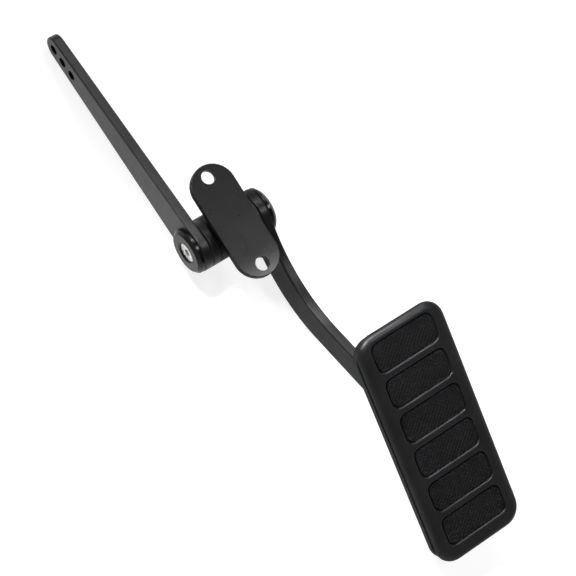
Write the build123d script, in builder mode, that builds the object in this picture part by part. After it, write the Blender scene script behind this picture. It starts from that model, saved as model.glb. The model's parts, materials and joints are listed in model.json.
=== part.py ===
from build123d import *
import os
from math import cos, radians, sin, sqrt

# All lengths are in millimetres, all angles in degrees.
# X runs along the pivot, Y along the mounting plate towards the throttle arm, Z out of the mounting face.
# The origin is the centre of the mounting face.

# Mounting bracket: round-ended plate, neck and cross tube in one piece
plate_width = 26.8
plate_length = 70.5
plate_thickness = 4.0
plate_edge_round = 0.5
plate_hole_diameter = 8.3
plate_hole_spacing = 56.2
pivot_depth = 21.6
tube_length = 25.4
neck_length = 21.0
neck_width = 20.0
neck_corner_round = 4.0
neck_fillet = 1.2

# Pivot: eyes, tube and bush flanges share one outer diameter
eye_diameter = 28.0
shaft_diameter = 14.0
shaft_flats = 10.0
shaft_end_gap = 0.3
bush_diameter = 20.0
bush_length = 11.0
bush_flange = 4.8
bush_edge_chamfer = 0.4
running_clearance = 0.05
side_clearance = 0.15
slip_clearance = 0.05
thread_clearance = 0.05

# Both arms are flat bar, set on edge
arm_thickness = 5.8
arm_edge_round = 1.0

# Throttle arm, straight and tapered
throttle_arm_length = 140.3
throttle_arm_angle = 6.8
throttle_tip_radius = 7.5
cable_hole_diameter = 6.0
cable_hole_pitch = 9.1
cable_hole_count = 3

# Pedal arm: leaves the eye backwards, bends forwards to the pad
pedal_arm_width = 19.0
pedal_arm_angle = 26.4
pedal_arm_offset = 39.1
pedal_arm_reach = 134.0
pedal_back_drop = 13.4
pedal_front_bend = 70.0
pedal_back_bend = 73.0

# End caps and the countersunk screws that hold them
cap_diameter = 27.2
cap_thickness = 3.9
cap_outer_chamfer = 1.9
cap_inner_chamfer = 0.4
cap_countersink = 13.4
cap_screw_diameter = 6.0
cap_screw_hole = 6.4
cap_screw_head = 11.3
cap_screw_length = 20.0
cap_screw_socket = 4.0
cap_screw_socket_depth = 2.2
cap_thread_spare = 2.0

# Pad: frame in front, backing plate behind, which is a little wider than the frame and a little shorter
pad_width = 58.0
pad_length = 143.7
pad_corner_radius = 11.5
pad_tilt = 24.5
pad_offset = 28.7
pad_drop = 14.15
frame_thickness = 4.0
frame_front_round = 3.6
seam_chamfer = 0.2
backing_thickness = 4.0
backing_side_step = 0.7
backing_end_inset = 2.1

# Six windows, each with a rubber insert whose lip is trapped in a rebate behind the frame
window_count = 6
window_top_margin = 4.9
window_bottom_margin = 10.1
window_side_margin = 8.4
window_bar = 4.5
window_corner_radius = 4.5
window_edge_round = 0.5
rebate_width = 1.4
rebate_depth = 1.2
insert_recess = 0.6
insert_groove = 1.0
insert_clearance = 0.1
insert_edge_round = 0.4

# Bracket behind the pad: flange under the backing plate, web beside the arm
flange_width = 36.0
flange_length = 58.0
flange_thickness = 4.0
flange_corner_radius = 5.0
web_thickness = 6.0
web_foot_length = 42.0
arm_end_gap = 0.7
arm_bolt_pitch = 18.0
arm_bolt_diameter = 6.0
arm_bolt_hole = 6.4
arm_bolt_head = 10.5
arm_bolt_head_height = 3.3
arm_bolt_head_round = 1.2
arm_bolt_socket = 4.0
arm_bolt_socket_depth = 1.8
arm_bolt_end_gap = 0.4

# Screws through the backing plate into the bracket, heads under the inserts
bracket_screw_diameter = 5.0
bracket_screw_hole = 5.4
bracket_screw_head = 9.2
bracket_screw_spacing_x = 23.0
bracket_screw_spacing_y = 42.0
bracket_screw_socket = 3.0
bracket_screw_end_gap = 0.3

# Screws through the backing plate into the frame, heads at the back
frame_screw_diameter = 3.0
frame_screw_hole = 3.3
frame_screw_head = 5.6
frame_screw_depth = 2.4
frame_screw_side_margin = 3.6
frame_screw_end_margin = 12.3
frame_screw_rows = 4
frame_screw_socket = 2.0
frame_screw_end_gap = 0.3

# A countersunk screw's socket goes this deep
small_socket_depth = 1.2
countersink_angle = 90

# Places along the pivot, measured from the middle
eye_radius = eye_diameter / 2
flange_face = tube_length / 2 + bush_flange
arm_inner = flange_face + side_clearance
arm_outer = arm_inner + arm_thickness
cap_face = arm_outer + cap_thickness
cap_screw_top = cap_face - (cap_countersink - cap_screw_head) / 2
from_base = (Align.CENTER, Align.CENTER, Align.MIN)


def side_plane(x):
    """Plane across the pivot at x: its own x runs along the plate, its own y out of the mounting face."""
    return Plane(origin=(x, 0, -pivot_depth), x_dir=(0, 1, 0), z_dir=(1, 0, 0))


def outward_plane(x, side):
    """Plane across the pivot that faces away from the middle, on the left (-1) or the right (1)."""
    return Plane(origin=(side * x, 0, -pivot_depth), x_dir=(0, 1, 0), z_dir=(side, 0, 0))


def inward_plane(x, side):
    """Plane across the pivot that faces the middle, on the left (-1) or the right (1)."""
    return Plane(origin=(side * x, 0, -pivot_depth), x_dir=(0, 1, 0), z_dir=(-side, 0, 0))


def keyed_end(clearance):
    """Round section with two flats, as on the shaft's ends and in the eyes."""
    Circle(shaft_diameter / 2 + clearance)
    Rectangle(2 * shaft_diameter, shaft_flats + 2 * clearance, mode=Mode.INTERSECT)


def countersunk_screws(plane, places, head, diameter, length, socket, socket_depth):
    """Countersunk screws whose heads lie on the plane and whose shanks run along its normal."""
    with BuildPart() as screws:
        with Locations(plane):
            with Locations(*places):
                Cone(head / 2, diameter / 2, (head - diameter) / 2, align=from_base)
                Cylinder(diameter / 2, length, align=from_base)
        with BuildSketch(plane):
            with Locations(*places):
                RegularPolygon(socket / 2, 6, major_radius=False)
        extrude(amount=socket_depth, mode=Mode.SUBTRACT)
    return screws


# Lower bar of the pedal arm, in the side plane: its direction, its front normal and its end bolt
bar_along = Vector(-cos(radians(pedal_arm_angle)), sin(radians(pedal_arm_angle)))
bar_front = Vector(sin(radians(pedal_arm_angle)), cos(radians(pedal_arm_angle)))
bar_radius = pedal_arm_width / 2


def bar_point(along, front):
    """Point of the lower bar: distance along it, and distance in front of its centre line."""
    return bar_along * along + bar_front * (front - pedal_arm_offset)


end_bolt = bar_point(pedal_arm_reach, 0)
second_bolt = bar_point(pedal_arm_reach - arm_bolt_pitch, 0)

# The pad stands square to its own normal, clear of the arm's rounded end
pad_normal = Vector(0, -sin(radians(pad_tilt)), cos(radians(pad_tilt)))
pad_up = Vector(0, cos(radians(pad_tilt)), sin(radians(pad_tilt)))
end_bolt_point = Vector(pad_offset, end_bolt.X, end_bolt.Y - pivot_depth)
flange_back_depth = bar_radius + arm_end_gap
pad_front_depth = flange_back_depth + flange_thickness + backing_thickness + frame_thickness
pad_centre = end_bolt_point + pad_normal * pad_front_depth - pad_up * pad_drop
pad_plane = Plane(origin=pad_centre, x_dir=(1, 0, 0), z_dir=pad_normal)
pad_axis = Axis(pad_centre, pad_normal)
backing_plane = pad_plane.offset(-frame_thickness)
flange_plane = backing_plane.offset(-backing_thickness)
flange_back_plane = flange_plane.offset(-flange_thickness)

# Where the arm's centre line meets the bracket flange, measured up the pad from its centre
flange_rise = pad_drop - flange_back_depth / sin(radians(pedal_arm_angle + pad_tilt)) * cos(
    radians(pedal_arm_angle + pad_tilt)
)

os.makedirs("parts", exist_ok=True)

# Mounting bracket
with BuildPart() as mounting_bracket:
    with BuildSketch(Plane.XY.offset(-plate_thickness)):
        SlotOverall(plate_length, plate_width, rotation=90)
    extrude(amount=plate_thickness)
    fillet(faces().filter_by(Axis.Z).edges(), plate_edge_round)
    with BuildSketch(Plane.XY.offset(-pivot_depth)):
        RectangleRounded(neck_length, neck_width, neck_corner_round)
    extrude(amount=pivot_depth - plate_thickness)
    plate_back = faces().filter_by(Axis.Z).filter_by_position(Axis.Z, -plate_thickness, -plate_thickness)
    fillet(plate_back.face().inner_wires().edges(), neck_fillet)
    with BuildSketch(side_plane(-tube_length / 2)):
        Circle(eye_radius)
    extrude(amount=tube_length)
    with BuildSketch(side_plane(-tube_length / 2)):
        Circle(bush_diameter / 2)
    extrude(amount=tube_length, mode=Mode.SUBTRACT)
    with GridLocations(0, plate_hole_spacing, 1, 2):
        Hole(plate_hole_diameter / 2, depth=plate_thickness)
mounting_bracket.part.label = "mounting_bracket"
export_step(mounting_bracket.part, "parts/mounting_bracket.step")

# Pivot shaft: journal between the arms, keyed ends, tapped for the cap screws
with BuildPart() as pivot_shaft:
    with BuildSketch(side_plane(-arm_inner)):
        Circle(shaft_diameter / 2)
    extrude(amount=2 * arm_inner)
    for side in (-1, 1):
        with BuildSketch(outward_plane(arm_inner, side)):
            keyed_end(0)
        extrude(amount=arm_thickness - shaft_end_gap)
        with BuildSketch(outward_plane(cap_screw_top - cap_screw_length - cap_thread_spare, side)):
            Circle(cap_screw_diameter / 2 + thread_clearance)
        extrude(amount=cap_screw_length + cap_thread_spare, mode=Mode.SUBTRACT)
pivot_shaft.part.label = "pivot_shaft"
export_step(pivot_shaft.part, "parts/pivot_shaft.step")

# Bushes, end caps and cap screws, one of each on either side
for side, side_name in ((-1, "left"), (1, "right")):
    bush_plane = outward_plane(tube_length / 2, side)
    with BuildPart() as bush:
        with BuildSketch(bush_plane):
            Circle(eye_radius)
        extrude(amount=bush_flange)
        chamfer(faces().filter_by(Axis.X).edges(), bush_edge_chamfer)
        with BuildSketch(bush_plane):
            Circle(bush_diameter / 2)
        extrude(amount=-bush_length)
        with BuildSketch(bush_plane.offset(-bush_length)):
            Circle(shaft_diameter / 2 + running_clearance)
        extrude(amount=bush_length + bush_flange, mode=Mode.SUBTRACT)
    bush.part.label = f"bush_{side_name}"
    export_step(bush.part, f"parts/bush_{side_name}.step")

    cap_plane = outward_plane(cap_face, side)
    with BuildPart() as end_cap:
        with BuildSketch(cap_plane):
            Circle(cap_diameter / 2)
        extrude(amount=-cap_thickness)
        rims = edges().sort_by(Axis((0, 0, 0), (side, 0, 0)))
        chamfer(rims[-1], cap_outer_chamfer)
        chamfer(rims[0], cap_inner_chamfer)
        with Locations(cap_plane):
            CounterSinkHole(cap_screw_hole / 2, cap_countersink / 2, cap_thickness, countersink_angle)
    end_cap.part.label = f"end_cap_{side_name}"
    export_step(end_cap.part, f"parts/end_cap_{side_name}.step")

    cap_screw = countersunk_screws(
        inward_plane(cap_screw_top, side),
        [(0, 0)],
        cap_screw_head,
        cap_screw_diameter,
        cap_screw_length,
        cap_screw_socket,
        cap_screw_socket_depth,
    )
    cap_screw.part.label = f"cap_screw_{side_name}"
    export_step(cap_screw.part, f"parts/cap_screw_{side_name}.step")

# Throttle arm
tip_direction = Vector(cos(radians(throttle_arm_angle)), -sin(radians(throttle_arm_angle)))
cable_holes = [
    tip_direction * (throttle_arm_length - step * cable_hole_pitch) for step in range(cable_hole_count)
]
with BuildPart() as throttle_arm:
    with BuildSketch(side_plane(-arm_outer)):
        with BuildLine():
            CenterArc((0, 0), eye_radius, 0, 360)
            CenterArc(cable_holes[0], throttle_tip_radius, 0, 360)
        make_hull()
    extrude(amount=arm_thickness)
    fillet(faces().filter_by(Axis.X).edges(), arm_edge_round)
    with BuildSketch(side_plane(-arm_outer)):
        keyed_end(slip_clearance)
        with Locations(*cable_holes):
            Circle(cable_hole_diameter / 2)
    extrude(amount=arm_thickness, mode=Mode.SUBTRACT)
throttle_arm.part.label = "throttle_arm"
export_step(throttle_arm.part, "parts/throttle_arm.step")

# Pedal arm: the front edge is an arc that touches the eye, the back edge a line that touches it, then an arc
front_centre_height = pedal_front_bend + bar_radius
front_centre_along = sqrt(
    (pedal_front_bend + eye_radius) ** 2 - (front_centre_height - pedal_arm_offset) ** 2
)
front_centre = bar_point(front_centre_along, front_centre_height)
front_start = front_centre.normalized() * eye_radius
front_end = bar_point(front_centre_along, bar_radius)
front_middle = front_centre + (
    (front_start - front_centre).normalized() + (front_end - front_centre).normalized()
).normalized() * pedal_front_bend
drop = radians(pedal_back_drop)
back_along = Vector(-cos(drop), -sin(drop))
back_start = Vector(sin(drop), -cos(drop)) * eye_radius
back_gap = (bar_point(0, -bar_radius) - back_start).dot(bar_front)
back_corner = back_start + back_along * (back_gap / back_along.dot(bar_front))
with BuildPart() as pedal_arm:
    with BuildSketch(side_plane(arm_inner)):
        with BuildLine():
            ThreePointArc(front_start, front_middle, front_end)
            Line(front_end, bar_point(pedal_arm_reach, bar_radius))
            ThreePointArc(
                bar_point(pedal_arm_reach, bar_radius),
                bar_point(pedal_arm_reach + bar_radius, 0),
                bar_point(pedal_arm_reach, -bar_radius),
            )
            FilletPolyline(
                bar_point(pedal_arm_reach, -bar_radius), back_corner, back_start, radius=pedal_back_bend
            )
            Line(back_start, front_start)
        make_face()
        Circle(eye_radius)
    extrude(amount=arm_thickness)
    fillet(faces().filter_by(Axis.X).edges(), arm_edge_round)
    with BuildSketch(side_plane(arm_inner)):
        keyed_end(slip_clearance)
        with Locations(end_bolt, second_bolt):
            Circle(arm_bolt_diameter / 2 + thread_clearance)
    extrude(amount=arm_thickness, mode=Mode.SUBTRACT)
pedal_arm.part.label = "pedal_arm"
export_step(pedal_arm.part, "parts/pedal_arm.step")

# Pad bracket: the web's outline wraps the second bolt and widens to its foot on the flange
foot_centre = flange_back_plane.from_local_coords(Vector(0, flange_rise, 0))
foot_ends = [foot_centre + pad_up * (reach * web_foot_length / 2) for reach in (-1, 1)]
foot_points = [Vector(point.Y, point.Z + pivot_depth) for point in foot_ends]
bracket_screw_places = [
    Vector(x * bracket_screw_spacing_x / 2, flange_rise + y * bracket_screw_spacing_y / 2)
    for x in (-1, 1)
    for y in (-1, 1)
]
with BuildPart() as pad_bracket:
    with BuildSketch(flange_back_plane):
        with Locations((0, flange_rise)):
            RectangleRounded(flange_width, flange_length, flange_corner_radius)
    extrude(amount=flange_thickness)
    with BuildSketch(side_plane(arm_outer)):
        with BuildLine():
            Line(*foot_points)
            CenterArc(second_bolt, bar_radius, 0, 360)
        make_hull()
    extrude(amount=web_thickness)
    with BuildSketch(side_plane(arm_outer)):
        with Locations(end_bolt, second_bolt):
            Circle(arm_bolt_hole / 2)
    extrude(amount=web_thickness, mode=Mode.SUBTRACT)
    with BuildSketch(flange_back_plane):
        with Locations(*bracket_screw_places):
            Circle(bracket_screw_diameter / 2 + thread_clearance)
    extrude(amount=flange_thickness, mode=Mode.SUBTRACT)
pad_bracket.part.label = "pad_bracket"
export_step(pad_bracket.part, "parts/pad_bracket.step")

# Bolts through the web into the arm
bolt_head_plane = side_plane(arm_outer + web_thickness)
with BuildPart() as arm_bolts:
    with BuildSketch(bolt_head_plane):
        with Locations(end_bolt, second_bolt):
            Circle(arm_bolt_head / 2)
    extrude(amount=arm_bolt_head_height)
    fillet(edges().group_by(Axis.X)[-1], arm_bolt_head_round)
    with BuildSketch(bolt_head_plane):
        with Locations(end_bolt, second_bolt):
            Circle(arm_bolt_diameter / 2)
    extrude(amount=-(web_thickness + arm_thickness - arm_bolt_end_gap))
    with BuildSketch(bolt_head_plane.offset(arm_bolt_head_height)):
        with Locations(end_bolt, second_bolt):
            RegularPolygon(arm_bolt_socket / 2, 6, major_radius=False)
    extrude(amount=-arm_bolt_socket_depth, mode=Mode.SUBTRACT)
arm_bolts.part.label = "arm_bolts"
export_step(arm_bolts.part, "parts/arm_bolts.step")

# Screws that hold the backing plate to the bracket
bracket_screws = countersunk_screws(
    backing_plane.rotated((180, 0, 0)),
    [Vector(place.X, -place.Y) for place in bracket_screw_places],
    bracket_screw_head,
    bracket_screw_diameter,
    backing_thickness + flange_thickness - bracket_screw_end_gap,
    bracket_screw_socket,
    small_socket_depth,
)
bracket_screws.part.label = "bracket_screws"
export_step(bracket_screws.part, "parts/bracket_screws.step")

# Screws that hold the frame to the backing plate, in two rows along its sides
frame_screw_reach = pad_length / 2 - frame_screw_end_margin
frame_screw_pitch = 2 * frame_screw_reach / (frame_screw_rows - 1)
frame_screw_places = [
    Vector(x * (pad_width / 2 - frame_screw_side_margin), row * frame_screw_pitch - frame_screw_reach)
    for x in (-1, 1)
    for row in range(frame_screw_rows)
]
frame_screws = countersunk_screws(
    flange_plane,
    frame_screw_places,
    frame_screw_head,
    frame_screw_diameter,
    backing_thickness + frame_screw_depth,
    frame_screw_socket,
    small_socket_depth,
)
frame_screws.part.label = "frame_screws"
export_step(frame_screws.part, "parts/frame_screws.step")

# Backing plate
with BuildPart() as backing_plate:
    with BuildSketch(flange_plane):
        RectangleRounded(
            pad_width + 2 * backing_side_step, pad_length - 2 * backing_end_inset, pad_corner_radius
        )
    extrude(amount=backing_thickness)
    chamfer(faces().filter_by(pad_axis).edges(), seam_chamfer)
    with Locations(backing_plane):
        with Locations(*bracket_screw_places):
            CounterSinkHole(
                bracket_screw_hole / 2, bracket_screw_head / 2, backing_thickness, countersink_angle
            )
    with Locations(flange_plane.rotated((180, 0, 0))):
        with Locations(*[Vector(place.X, -place.Y) for place in frame_screw_places]):
            CounterSinkHole(frame_screw_hole / 2, frame_screw_head / 2, backing_thickness, countersink_angle)
backing_plate.part.label = "backing_plate"
export_step(backing_plate.part, "parts/backing_plate.step")

# Pad frame: equal windows fill the height between its margins, with a bar between neighbours
window_width = pad_width - 2 * window_side_margin
windows_height = pad_length - window_top_margin - window_bottom_margin
window_height = (windows_height - (window_count - 1) * window_bar) / window_count
top_window = pad_length / 2 - window_top_margin - window_height / 2
window_places = [Vector(0, top_window - row * (window_height + window_bar)) for row in range(window_count)]
with BuildPart() as pad_frame:
    with BuildSketch(backing_plane):
        RectangleRounded(pad_width, pad_length, pad_corner_radius)
    extrude(amount=frame_thickness)
    pad_faces = faces().filter_by(pad_axis).sort_by(pad_axis)
    chamfer(pad_faces[0].edges(), seam_chamfer)
    fillet(pad_faces[-1].edges(), frame_front_round)
    with BuildSketch(backing_plane):
        with Locations(*window_places):
            RectangleRounded(window_width, window_height, window_corner_radius)
    extrude(amount=frame_thickness, mode=Mode.SUBTRACT)
    front_face = faces().filter_by(pad_axis).sort_by(pad_axis)[-1]
    fillet(front_face.inner_wires().edges(), window_edge_round)
    with BuildSketch(backing_plane):
        with Locations(*window_places):
            RectangleRounded(
                window_width + 2 * rebate_width,
                window_height + 2 * rebate_width,
                window_corner_radius + rebate_width,
            )
    extrude(amount=rebate_depth, mode=Mode.SUBTRACT)
    with BuildSketch(backing_plane):
        with Locations(*frame_screw_places):
            Circle(frame_screw_diameter / 2 + thread_clearance)
    extrude(amount=frame_screw_depth + frame_screw_end_gap, mode=Mode.SUBTRACT)
pad_frame.part.label = "pad_frame"
export_step(pad_frame.part, "parts/pad_frame.step")

# Rubber inserts, from the top of the pad down: an open groove runs round each one inside its window
insert_height = frame_thickness - insert_recess
lip_margin = rebate_width - insert_clearance
for row, place in enumerate(window_places):
    insert_name = f"rubber_insert_{row + 1}"
    with BuildPart() as rubber_insert:
        with BuildSketch(backing_plane):
            with Locations(place):
                RectangleRounded(
                    window_width - 2 * insert_groove,
                    window_height - 2 * insert_groove,
                    window_corner_radius - insert_groove,
                )
        extrude(amount=insert_height)
        top_face = faces().filter_by(pad_axis).sort_by(pad_axis)[-1]
        fillet(top_face.edges(), insert_edge_round)
        with BuildSketch(backing_plane):
            with Locations(place):
                RectangleRounded(
                    window_width + 2 * lip_margin,
                    window_height + 2 * lip_margin,
                    window_corner_radius + lip_margin,
                )
        extrude(amount=rebate_depth - insert_clearance)
    rubber_insert.part.label = insert_name
    export_step(rubber_insert.part, f"parts/{insert_name}.step")
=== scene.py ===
import json
import math

import bmesh
import bpy
from mathutils import Matrix, Vector


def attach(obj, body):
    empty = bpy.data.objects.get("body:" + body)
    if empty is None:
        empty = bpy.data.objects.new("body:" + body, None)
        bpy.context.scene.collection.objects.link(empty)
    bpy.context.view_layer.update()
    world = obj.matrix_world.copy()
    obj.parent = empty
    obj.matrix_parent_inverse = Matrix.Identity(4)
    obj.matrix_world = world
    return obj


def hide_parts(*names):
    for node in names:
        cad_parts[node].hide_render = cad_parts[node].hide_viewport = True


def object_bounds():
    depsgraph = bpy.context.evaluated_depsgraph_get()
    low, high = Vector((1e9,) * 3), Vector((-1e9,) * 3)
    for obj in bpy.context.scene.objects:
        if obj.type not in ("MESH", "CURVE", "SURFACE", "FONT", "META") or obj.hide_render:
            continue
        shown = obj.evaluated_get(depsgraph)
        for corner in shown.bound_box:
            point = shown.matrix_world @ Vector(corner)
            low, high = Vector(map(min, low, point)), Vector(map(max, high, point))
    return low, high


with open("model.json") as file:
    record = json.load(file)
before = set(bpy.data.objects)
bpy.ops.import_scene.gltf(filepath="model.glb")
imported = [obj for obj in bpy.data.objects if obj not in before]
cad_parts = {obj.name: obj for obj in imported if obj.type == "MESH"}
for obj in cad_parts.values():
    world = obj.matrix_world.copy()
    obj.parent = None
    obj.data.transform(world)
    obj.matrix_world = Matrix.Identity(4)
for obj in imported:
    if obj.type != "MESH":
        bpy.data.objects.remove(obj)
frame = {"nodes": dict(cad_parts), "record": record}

cad_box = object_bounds()
nodes = frame["nodes"]
MM = 0.001

# Camera: the photograph's viewing angle, in degrees and metres
CAMERA_AZIMUTH = -82.85
CAMERA_ELEVATION = 68.0
CAMERA_ROLL = 51.17
CAMERA_DISTANCE = 1.12
CAMERA_AIM = Vector((0.01228, -0.04608, -0.01855))
CAMERA_LENS = 125.0
CAMERA_SENSOR = 36.0

# Pad: its lean, and the directions across it, up it and out of its face
PAD_TILT = math.radians(24.5)
PAD_ACROSS = Vector((1, 0, 0))
PAD_UP = Vector((0, math.cos(PAD_TILT), math.sin(PAD_TILT)))
PAD_NORMAL = Vector((0, -math.sin(PAD_TILT), math.cos(PAD_TILT)))
INSERT_COUNT = 6
CORNER_STEPS = 8

# Diamond pattern of the rubber: it reaches past the insert's flat top and sinks into it
GRIP_PITCH = 2.0 * MM
GRIP_HEIGHT = 0.5 * MM
GRIP_REACH = 0.8 * MM
GRIP_SINK = 0.45 * MM
GRIP_CORNER = 4.4 * MM
GRIP_SPARE_CELLS = 3
FLAT_TOLERANCE = 0.01 * MM

# Pad frame: the solid's outline, with a small chamfer along its back edge
FRAME_WIDTH = 58.0 * MM
FRAME_LENGTH = 143.7 * MM
FRAME_CORNER = 11.5 * MM
FRAME_THICKNESS = 4.0 * MM
FRAME_SEAM = 0.2 * MM

# Crown of the frame's rim: its drop, its width at the sides and ends, and the corner where it meets the flat
CROWN_FALL = 3.6 * MM
CROWN_SIDE = 5.0 * MM
CROWN_END = 3.6 * MM
CROWN_CORNER = 8.0 * MM
CROWN_STEPS = 20

# Windows of the frame: the solid's sizes, with rounder front edges
WINDOW_WIDTH = 41.2 * MM
WINDOW_HEIGHT = 17.7 * MM
WINDOW_PITCH = 22.2 * MM
WINDOW_TOP = 4.9 * MM
WINDOW_CORNER = 4.5 * MM
WINDOW_ROUND = 1.2 * MM
WINDOW_STEPS = 10
REBATE_WIDTH = 1.4 * MM
REBATE_DEPTH = 1.2 * MM

# Shading of the frame: a narrow flat margin beside each round, and the angle from which an edge is sharp
FLAT_MARGIN = 0.03 * MM
SHARP_ANGLE = math.radians(40)

# Noises of the finishes: scale in features per metre and detail, and the part of their range that is used
TONE_RANGE = (0.35, 0.65)
GLOSS_RANGE = (0.3, 0.7)
BLACK_TONE_NOISE = (60, 3)
BLACK_GLOSS_NOISE = (140, 4)
BLACK_GRAIN_DETAIL = 2
BLACK_GRAIN_DEPTH = 0.05 * MM
COAT_GRAIN_SCALE = 3000
COAT_SHEEN = 0.5

# Tints: the pad's black is slightly cool
NEUTRAL = (1, 1, 1)
COOL = (0.95, 0.955, 1)

# Plate's lower end: the places along Y between which its shading falls away, and by how much
ROLL_START = -20 * MM
ROLL_END = -36 * MM
ROLL_DROP = 0.6 * MM

# Floor just under the lowest point: its grey keeps the shadows, its glow makes it pale
FLOOR_GAP = 0.4 * MM
FLOOR_SIZE = 6.0
FLOOR_GREY = 0.35
FLOOR_GLOW = 0.8

# Surroundings: pale walls up to a height (the upward part of the direction), then a dim ceiling
WALL_TOP = 0.3
CEILING_EDGE = 0.6
WALL_LIGHT = 0.7
CEILING_LIGHT = 0.1


def add_object(name, data):
    """New object in the scene."""
    item = bpy.data.objects.new(name, data)
    bpy.context.scene.collection.objects.link(item)
    return item


def turn_to(first, second, third):
    """Rotation that takes the X, Y and Z axes to three directions."""
    return Matrix((first, second, third)).transposed().to_4x4()


def camera_axes():
    """Right, up and backward directions of the camera."""
    azimuth = math.radians(CAMERA_AZIMUTH)
    elevation = math.radians(CAMERA_ELEVATION)
    roll = math.radians(CAMERA_ROLL)
    level = math.cos(elevation)
    back = Vector((math.sin(azimuth) * level, -math.cos(azimuth) * level, math.sin(elevation)))
    level_right = Vector((math.cos(azimuth), math.sin(azimuth), 0))
    level_up = back.cross(level_right)
    right = level_right * math.cos(roll) + level_up * math.sin(roll)
    up = back.cross(right)
    return right, up, back


RIGHT, UP, BACK = camera_axes()


def add_camera():
    """Camera that looks at the aim point from the photograph's angle."""
    data = bpy.data.cameras.new("camera")
    data.lens = CAMERA_LENS
    data.sensor_width = CAMERA_SENSOR
    camera = add_object("camera", data)
    camera.matrix_world = Matrix.Translation(CAMERA_AIM + BACK * CAMERA_DISTANCE) @ turn_to(RIGHT, UP, BACK)
    bpy.context.scene.camera = camera


def feed(tree, node, name, value):
    """Gives a node's input a value, or a link from another node's output."""
    if isinstance(value, bpy.types.NodeSocket):
        tree.links.new(value, node.inputs[name])
    else:
        node.inputs[name].default_value = value


def add_node(tree, kind, inputs=None):
    """New node in a shader tree, with its inputs given by name or number."""
    node = tree.nodes.new(kind)
    for name, value in (inputs or {}).items():
        feed(tree, node, name, value)
    return node


def object_noise(tree, scale, detail):
    """Noise over the object's own coordinates; scale is in features per metre."""
    place = add_node(tree, "ShaderNodeTexCoord")
    inputs = {"Vector": place.outputs["Object"], "Scale": scale, "Detail": detail}
    return add_node(tree, "ShaderNodeTexNoise", inputs).outputs["Fac"]


def colour_between(tree, noise, colours):
    """Colour that a noise moves between two colours."""
    ramp = add_node(tree, "ShaderNodeValToRGB", {"Fac": noise})
    for stop, position, colour in zip(ramp.color_ramp.elements, TONE_RANGE, colours):
        stop.position = position
        stop.color = (*colour, 1)
    return ramp.outputs["Color"]


def number_between(tree, noise, numbers):
    """Number that a noise moves between two numbers."""
    inputs = {
        "Value": noise,
        "From Min": GLOSS_RANGE[0],
        "From Max": GLOSS_RANGE[1],
        "To Min": numbers[0],
        "To Max": numbers[1],
    }
    return add_node(tree, "ShaderNodeMapRange", inputs).outputs["Result"]


def mottled(name, colours, roughness, tone_noise, gloss_noise, grain_noise, grain, grain_depth):
    """Material with slow changes of colour and roughness and a fine grain; returns it and its shader."""
    material = bpy.data.materials.new(name)
    material.use_nodes = True
    tree = material.node_tree
    shader = tree.nodes["Principled BSDF"]
    feed(tree, shader, "Base Color", colour_between(tree, object_noise(tree, *tone_noise), colours))
    feed(tree, shader, "Roughness", number_between(tree, object_noise(tree, *gloss_noise), roughness))
    inputs = {"Strength": grain, "Distance": grain_depth, "Height": object_noise(tree, *grain_noise)}
    bump = add_node(tree, "ShaderNodeBump", inputs)
    bump.name = "grain"
    feed(tree, shader, "Normal", bump.outputs["Normal"])
    return material, shader


def satin_black(name, tones, roughness, sheen, grain_scale, grain, tint=NEUTRAL):
    """Black finish between two tones and two roughnesses."""
    material, shader = mottled(
        name,
        [tone * Vector(tint) for tone in tones],
        roughness,
        BLACK_TONE_NOISE,
        BLACK_GLOSS_NOISE,
        (grain_scale, BLACK_GRAIN_DETAIL),
        grain,
        BLACK_GRAIN_DEPTH,
    )
    shader.inputs["Specular IOR Level"].default_value = sheen
    shader.inputs["Specular Tint"].default_value = (*tint, 1)
    return material


def coated_metal(name, tones, roughness, edge, grain, metallic=0.85, tint=NEUTRAL):
    """Black coated metal: its reflection at a flat angle is held down to the share given by edge."""
    material = satin_black(name, tones, roughness, COAT_SHEEN, COAT_GRAIN_SCALE, grain, tint)
    shader = material.node_tree.nodes["Principled BSDF"]
    shader.inputs["Metallic"].default_value = metallic
    shader.inputs["Specular Tint"].default_value = (edge, edge, edge, 1)
    return material


def bright_steel(name):
    """Bright steel with faint changes of tone and gloss."""
    material, shader = mottled(
        name,
        colours=[(0.62, 0.61, 0.59), (0.8, 0.79, 0.77)],
        roughness=(0.22, 0.36),
        tone_noise=(300, 3),
        gloss_noise=(900, 3),
        grain_noise=(6000, 1),
        grain=0.05,
        grain_depth=0.02 * MM,
    )
    shader.inputs["Metallic"].default_value = 1.0
    return material


def roll_end(material):
    """Lets the plate's shading fall away towards its lower end, as a rumbled edge does."""
    tree = material.node_tree
    place = add_node(tree, "ShaderNodeTexCoord")
    parts = add_node(tree, "ShaderNodeSeparateXYZ", {"Vector": place.outputs["Object"]})
    reach_inputs = {"Value": parts.outputs["Y"], "From Min": ROLL_START, "From Max": ROLL_END}
    reach = add_node(tree, "ShaderNodeMapRange", reach_inputs).outputs["Result"]
    fall = add_node(tree, "ShaderNodeMath", {0: reach, 1: reach})
    fall.operation = "MULTIPLY"
    roll_inputs = {"Strength": 1.0, "Distance": ROLL_DROP, "Height": fall.outputs["Value"]}
    roll = add_node(tree, "ShaderNodeBump", roll_inputs)
    roll.invert = True
    feed(tree, tree.nodes["grain"], "Normal", roll.outputs["Normal"])


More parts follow.
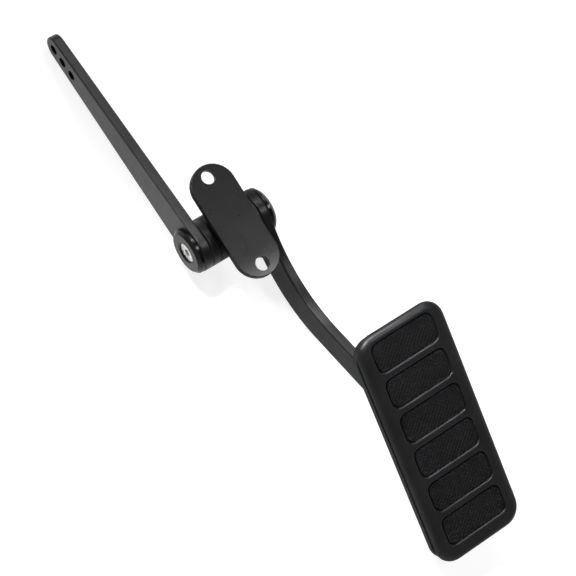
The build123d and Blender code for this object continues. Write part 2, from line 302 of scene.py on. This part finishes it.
metal = coated_metal("black_aluminium", tones=(0.023, 0.030), roughness=(0.36, 0.42), edge=1.0, grain=0.06)
cast = coated_metal("black_bracket", tones=(0.030, 0.034), roughness=(0.27, 0.29), edge=0.4, grain=0.012)
roll_end(cast)
# Painted shade: the pedal arm gets a darker copy of the black metal, with its reflection at a flat angle
# held lower; it stands in for the shade that the arm's side reflects, not for a different finish.
bent_painted_shade = coated_metal("black_bent_bar_painted_shade", tones=(0.016, 0.022), roughness=(0.34, 0.40), edge=0.55, grain=0.04)
frame_metal = coated_metal(
    "black_pad_frame",
    tones=(0.031, 0.038),
    roughness=(0.36, 0.40),
    edge=0.4,
    grain=0.012,
    metallic=0.86,
    tint=COOL,
)
turned = satin_black(
    "black_turned", tones=(0.003, 0.004), roughness=(0.18, 0.22), sheen=0.2, grain_scale=3000, grain=0.02
)
acetal = satin_black(
    "black_acetal", tones=(0.003, 0.005), roughness=(0.40, 0.46), sheen=0.3, grain_scale=4000, grain=0.03
)
black_steel = satin_black(
    "black_steel", tones=(0.006, 0.009), roughness=(0.30, 0.40), sheen=0.5, grain_scale=5000, grain=0.08
)
rubber = satin_black(
    "black_rubber",
    tones=(0.003, 0.005),
    roughness=(0.36, 0.44),
    sheen=0.17,
    grain_scale=5000,
    grain=0.10,
    tint=COOL,
)
steel = bright_steel("bright_steel")

FINISHES = {
    "black_aluminium": metal,
    "black_acetal": acetal,
    "black_steel": black_steel,
    "black_rubber": rubber,
    "steel": steel,
}
NODE_FINISHES = {
    "end_cap_left": turned,
    "end_cap_right": turned,
    "mounting_bracket": cast,
    "pedal_arm": bent_painted_shade,
    "pad_frame": frame_metal,
    "backing_plate": frame_metal,
}


def dress_nodes():
    """Gives each CAD node its own finish or that of its material slot."""
    for subpart in frame["record"]["subparts"]:
        node = subpart["node"]
        mesh = nodes[node].data
        mesh.materials.clear()
        mesh.materials.append(NODE_FINISHES.get(node, FINISHES[subpart["material_slot"]]))


def pad_point(across, up, out):
    """Point given by its places along the pad's three directions."""
    return PAD_ACROSS * across + PAD_UP * up + PAD_NORMAL * out


def place_on_pad(mesh, point):
    """Turns a mesh that lies flat about the origin into the pad's lean, at a point."""
    mesh.transform(Matrix.Translation(point) @ turn_to(PAD_ACROSS, PAD_UP, PAD_NORMAL))


def span(points, direction):
    """Lowest and highest place of some points along a direction."""
    places = [point.dot(direction) for point in points]
    return min(places), max(places)


def node_points(node):
    """Points of a CAD node's mesh."""
    return [vertex.co for vertex in nodes[node].data.vertices]


def insert_face(node):
    """Centre of an insert's top face and its size across and up the pad."""
    points = node_points(node)
    height = span(points, PAD_NORMAL)[1]
    top = [point for point in points if point.dot(PAD_NORMAL) > height - FLAT_TOLERANCE]
    left, right = span(top, PAD_ACROSS)
    low, high = span(top, PAD_UP)
    return pad_point((left + right) / 2, (low + high) / 2, height), right - left, high - low


def rounded_outline(width, height, radius):
    """Points of a rounded rectangle about the origin, anticlockwise."""
    outline = []
    for quarter in range(4):
        corner_x = (width / 2 - radius) * (1 if quarter in (0, 3) else -1)
        corner_y = (height / 2 - radius) * (1 if quarter in (0, 1) else -1)
        for step in range(CORNER_STEPS + 1):
            angle = math.pi / 2 * (quarter + step / CORNER_STEPS)
            outline.append((corner_x + radius * math.cos(angle), corner_y + radius * math.sin(angle)))
    return outline


def prism_mesh(name, outline, low, high):
    """Closed prism over an outline."""
    count = len(outline)
    points = [(x, y, low) for x, y in outline] + [(x, y, high) for x, y in outline]
    faces = [tuple(reversed(range(count))), tuple(range(count, 2 * count))]
    faces += [(i, (i + 1) % count, count + (i + 1) % count, count + i) for i in range(count)]
    mesh = bpy.data.meshes.new(name)
    mesh.from_pydata(points, [], faces)
    return mesh


def finished_mesh(name, form):
    """Mesh of a closed form, its faces turned outwards."""
    bmesh.ops.recalc_face_normals(form, faces=form.faces)
    mesh = bpy.data.meshes.new(name)
    form.to_mesh(mesh)
    form.free()
    return mesh


def knurl_mesh(name, width, height):
    """Closed block whose top is a field of four-sided points, one on every second cell of a grid."""
    half_step = GRIP_PITCH / math.sqrt(2)
    columns = int(width / half_step / 2) + GRIP_SPARE_CELLS
    rows = int(height / half_step / 2) + GRIP_SPARE_CELLS
    form = bmesh.new()
    floor_points = {}
    base_points = {}

    def base_point(column, row):
        key = (column, row)
        if key not in base_points:
            x = column * half_step
            y = row * half_step
            base_points[key] = form.verts.new((x, y, 0))
            floor_points[key] = form.verts.new((x, y, -2 * GRIP_SINK))
        return base_points[key]

    for column in range(-columns, columns + 1):
        for row in range(-rows, rows + 1):
            if (column + row) % 2:
                continue
            ring = [(column + 1, row), (column, row + 1), (column - 1, row), (column, row - 1)]
            base = [base_point(*place) for place in ring]
            peak = form.verts.new((column * half_step, row * half_step, GRIP_HEIGHT))
            for first, second in zip(base, base[1:] + base[:1]):
                form.faces.new((first, second, peak))
            form.faces.new([floor_points[place] for place in reversed(ring)])
    rim = [edge for edge in form.edges if edge.is_boundary and edge.verts[0].co.z == 0]
    lower = {base_points[key]: floor_points[key] for key in base_points}
    for edge in rim:
        first, second = edge.verts
        form.faces.new((second, first, lower[first], lower[second]))
    return finished_mesh(name, form)


def trimmed_knurl(width, height):
    """The knurled block cut to the insert's rounded outline, its floor too; the points stay whole."""
    outline = rounded_outline(width, height, GRIP_CORNER)
    block = add_object("knurl_block", knurl_mesh("knurl_block", width, height))
    cutter = add_object("knurl_cutter", prism_mesh("knurl_cutter", outline, -GRIP_SINK, 2 * GRIP_HEIGHT))
    cut = block.modifiers.new("trim", "BOOLEAN")
    cut.operation = "INTERSECT"
    cut.object = cutter
    cut.solver = "EXACT"
    bpy.context.view_layer.update()
    graph = bpy.context.evaluated_depsgraph_get()
    mesh = bpy.data.meshes.new_from_object(block.evaluated_get(graph))
    for piece in (block, cutter):
        bpy.data.objects.remove(piece)
    return mesh


def add_ring(form, width, height, radius, middle, level):
    """Ring of points on a rounded rectangle, its centre moved up the pad to the middle."""
    outline = rounded_outline(width, height, radius)
    return [form.verts.new((x, y + middle, level)) for x, y in outline]


def join_rings(form, rings):
    """Bands of faces from each ring to the next."""
    for lower, upper in zip(rings, rings[1:]):
        for i in range(len(lower)):
            j = (i + 1) % len(lower)
            form.faces.new((lower[i], lower[j], upper[j], upper[i]))


def fill_between(form, rings):
    """Flat face inside the first ring and outside the others."""
    edges = []
    for ring in rings:
        edges += [form.edges.get((ring[i - 1], ring[i])) for i in range(len(ring))]
    bmesh.ops.triangle_fill(form, use_beauty=True, edges=edges)


def rim_rings(form):
    """Rings of the frame's outer surface, from its back edge over the crown to the flat front."""

    def ring(inset, extra, level):
        """Ring at a share of the crown's width, drawn in by an extra length."""
        return add_ring(
            form,
            FRAME_WIDTH - 2 * (CROWN_SIDE * inset + extra),
            FRAME_LENGTH - 2 * (CROWN_END * inset + extra),
            FRAME_CORNER + (CROWN_CORNER - FRAME_CORNER) * inset - extra,
            0,
            level,
        )

    rings = [ring(0, FRAME_SEAM, 0), ring(0, 0, FRAME_SEAM)]
    for step in range(CROWN_STEPS + 1):
        angle = math.pi / 2 * (1 - step / CROWN_STEPS)
        drop = CROWN_FALL * (1 - math.cos(angle))
        rings.append(ring(1 - math.sin(angle), 0, FRAME_THICKNESS - drop))
    rings.append(ring(1, FLAT_MARGIN, FRAME_THICKNESS))
    return rings


def window_rings(form, middle):
    """Rings of one window, from its rounded front edge down the wall and round the rebate to the back."""

    def ring(margin, level):
        """Ring that stands outside the window's opening by a margin."""
        width = WINDOW_WIDTH + 2 * margin
        height = WINDOW_HEIGHT + 2 * margin
        return add_ring(form, width, height, WINDOW_CORNER + margin, middle, level)

    rings = [ring(WINDOW_ROUND + FLAT_MARGIN, FRAME_THICKNESS)]
    for step in range(WINDOW_STEPS + 1):
        angle = math.pi / 2 * step / WINDOW_STEPS
        drop = WINDOW_ROUND * (1 - math.cos(angle))
        rings.append(ring(WINDOW_ROUND * (1 - math.sin(angle)), FRAME_THICKNESS - drop))
    rings.append(ring(0, REBATE_DEPTH))
    rings.append(ring(REBATE_WIDTH, REBATE_DEPTH))
    rings.append(ring(REBATE_WIDTH, 0))
    return rings


def crowned_frame_mesh():
    """The pad's frame about the centre of its back face."""
    form = bmesh.new()
    rim = rim_rings(form)
    top_middle = FRAME_LENGTH / 2 - WINDOW_TOP - WINDOW_HEIGHT / 2
    windows = [window_rings(form, top_middle - row * WINDOW_PITCH) for row in range(INSERT_COUNT)]
    for rings in [rim] + windows:
        join_rings(form, rings)
    fill_between(form, [rim[-1]] + [rings[0] for rings in windows])
    fill_between(form, [rim[0]] + [rings[-1] for rings in windows])
    for face in form.faces:
        face.smooth = True
    mesh = finished_mesh("pad_frame_crowned", form)
    mesh.set_sharp_from_angle(angle=SHARP_ANGLE)
    return mesh


def add_crowned_frame():
    """The crowned frame, where the solid one is."""
    points = node_points("pad_frame")
    across = sum(span(points, PAD_ACROSS)) / 2
    up = sum(span(points, PAD_UP)) / 2
    back = span(points, PAD_NORMAL)[0]
    mesh = crowned_frame_mesh()
    place_on_pad(mesh, pad_point(across, up, back))
    mesh.materials.append(frame_metal)
    piece = add_object("pad_frame_crowned", mesh)
    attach(piece, "lever")
    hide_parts("pad_frame")


def add_grips():
    """Diamond pattern on each rubber insert, cut once and copied."""
    pattern = None
    for number in range(1, INSERT_COUNT + 1):
        centre, width, height = insert_face(f"rubber_insert_{number}")
        if pattern is None:
            pattern = trimmed_knurl(width + 2 * GRIP_REACH, height + 2 * GRIP_REACH)
        mesh = pattern.copy()
        place_on_pad(mesh, centre)
        mesh.materials.clear()
        mesh.materials.append(rubber)
        grip = add_object(f"insert_grip_{number}", mesh)
        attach(grip, "lever")


def floor_glow(tree):
    """Strength of the floor's glow, which shows directly and in reflections and casts no other light."""
    path = add_node(tree, "ShaderNodeLightPath")
    shown = path.outputs["Is Camera Ray"]
    for kind in ("Is Glossy Ray", "Is Transmission Ray"):
        either = add_node(tree, "ShaderNodeMath", {0: shown, 1: path.outputs[kind]})
        either.operation = "MAXIMUM"
        shown = either.outputs["Value"]
    strength = add_node(tree, "ShaderNodeMapRange", {"Value": shown, "To Min": 0.0, "To Max": FLOOR_GLOW})
    return strength.outputs["Result"]


def pale_floor():
    """Floor's material: grey under the lamps, with a glow on top for what sees it."""
    material = bpy.data.materials.new("pale_floor")
    material.use_nodes = True
    tree = material.node_tree
    tree.nodes.clear()
    grey = add_node(tree, "ShaderNodeBsdfDiffuse", {"Color": (FLOOR_GREY, FLOOR_GREY, FLOOR_GREY, 1)})
    glow = add_node(tree, "ShaderNodeEmission", {"Strength": floor_glow(tree)})
    total = add_node(tree, "ShaderNodeAddShader", {0: grey.outputs["BSDF"], 1: glow.outputs["Emission"]})
    add_node(tree, "ShaderNodeOutputMaterial", {"Surface": total.outputs["Shader"]})
    return material


def add_floor():
    """Pale floor: nearly white to the camera, with the object's soft shadow."""
    level = cad_box[0].z - FLOOR_GAP
    half = FLOOR_SIZE / 2
    corners = [(-half, -half, level), (half, -half, level), (half, half, level), (-half, half, level)]
    mesh = bpy.data.meshes.new("floor")
    mesh.from_pydata(corners, [], [(0, 1, 2, 3)])
    mesh.materials.append(pale_floor())
    floor = add_object("floor", mesh)


def add_world():
    """Studio surroundings: pale walls all round, a dim ceiling."""
    world = bpy.data.worlds.new("studio")
    bpy.context.scene.world = world
    world.use_nodes = True
    tree = world.node_tree
    place = add_node(tree, "ShaderNodeTexCoord")
    parts = add_node(tree, "ShaderNodeSeparateXYZ", {"Vector": place.outputs["Generated"]})
    inputs = {
        "Value": parts.outputs["Z"],
        "From Min": WALL_TOP,
        "From Max": CEILING_EDGE,
        "To Min": WALL_LIGHT,
        "To Max": CEILING_LIGHT,
    }
    strength = add_node(tree, "ShaderNodeMapRange", inputs)
    strength.interpolation_type = "SMOOTHSTEP"
    background = tree.nodes["Background"]
    feed(tree, background, "Color", (1, 1, 1, 1))
    feed(tree, background, "Strength", strength.outputs["Result"])


def add_softbox(name, direction, distance, size, power, aim=CAMERA_AIM, spread=math.pi):
    """Area lamp that faces the aim from a direction in the camera's axes, its width along the picture.

    A spread below a half turn narrows its beam, as a grid in front of a softbox does.
    """
    data = bpy.data.lights.new(name, "AREA")
    data.spread = spread
    data.shape = "RECTANGLE"
    data.size, data.size_y = size
    data.energy = power
    right, up, back = direction
    towards = (RIGHT * right + UP * up + BACK * back).normalized()
    lamp_up = towards.cross(RIGHT).normalized()
    lamp_right = lamp_up.cross(towards)
    lamp = add_object(name, data)
    lamp.matrix_world = Matrix.Translation(aim + towards * distance) @ turn_to(lamp_right, lamp_up, towards)


def add_lamps():
    """Wide softbox above, a small one in front, and two narrow beams on the pad's top left corner."""
    points = node_points("pad_frame")
    pad_corner = pad_point(span(points, PAD_ACROSS)[0], span(points, PAD_UP)[1], span(points, PAD_NORMAL)[1])
    add_softbox("top", direction=(-0.08, 0.80, 0.59), distance=1.2, size=(1.1, 0.7), power=7)
    add_softbox(
        "key",
        direction=(0.12, 0.85, 0.52),
        distance=0.6,
        size=(0.1, 0.1),
        power=0.04,
        aim=pad_corner,
        spread=math.radians(24),
    )
    add_softbox(
        "corner",
        direction=(-0.19, 0.53, 0.83),
        distance=0.9,
        size=(0.2, 0.2),
        power=0.25,
        aim=pad_corner,
        spread=math.radians(20),
    )
    add_softbox("front", direction=(0.62, 0.27, 0.73), distance=1.2, size=(0.2, 0.2), power=3.5)


add_camera()
dress_nodes()
add_crowned_frame()
add_grips()
add_floor()
add_world()
add_lamps()
bpy.context.scene.view_settings.view_transform = "Standard"
